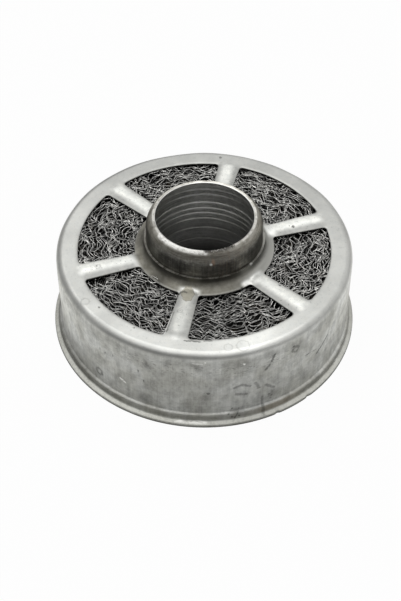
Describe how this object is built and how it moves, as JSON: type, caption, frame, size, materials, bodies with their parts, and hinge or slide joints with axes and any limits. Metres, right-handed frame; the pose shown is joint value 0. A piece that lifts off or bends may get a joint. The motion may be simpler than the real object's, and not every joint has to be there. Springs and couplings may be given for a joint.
{
  "type": "air filter element",
  "caption": "Round air filter element: drawn steel shell with windows over a knitted wire packing, on a centre tube with a swaged neck.",
  "frame": {"origin": "centre of the plane that the flared rim stands on", "axes": "+Z along the centre tube, from the rim towards the neck"},
  "size_m": [0.12, 0.12, 0.052],
  "materials": {
    "shell_steel": "drawn sheet, dull and lightly scratched",
    "tube_steel": "dark, oily, with a bright worn lip",
    "wire_steel": "bare crimped wire"
  },
  "bodies": {
    "root": {"outer_shell": "shell_steel", "lower_grille": "shell_steel", "centre_tube": "tube_steel", "wire_packing": "wire_steel"}
  },
  "joints": []
}
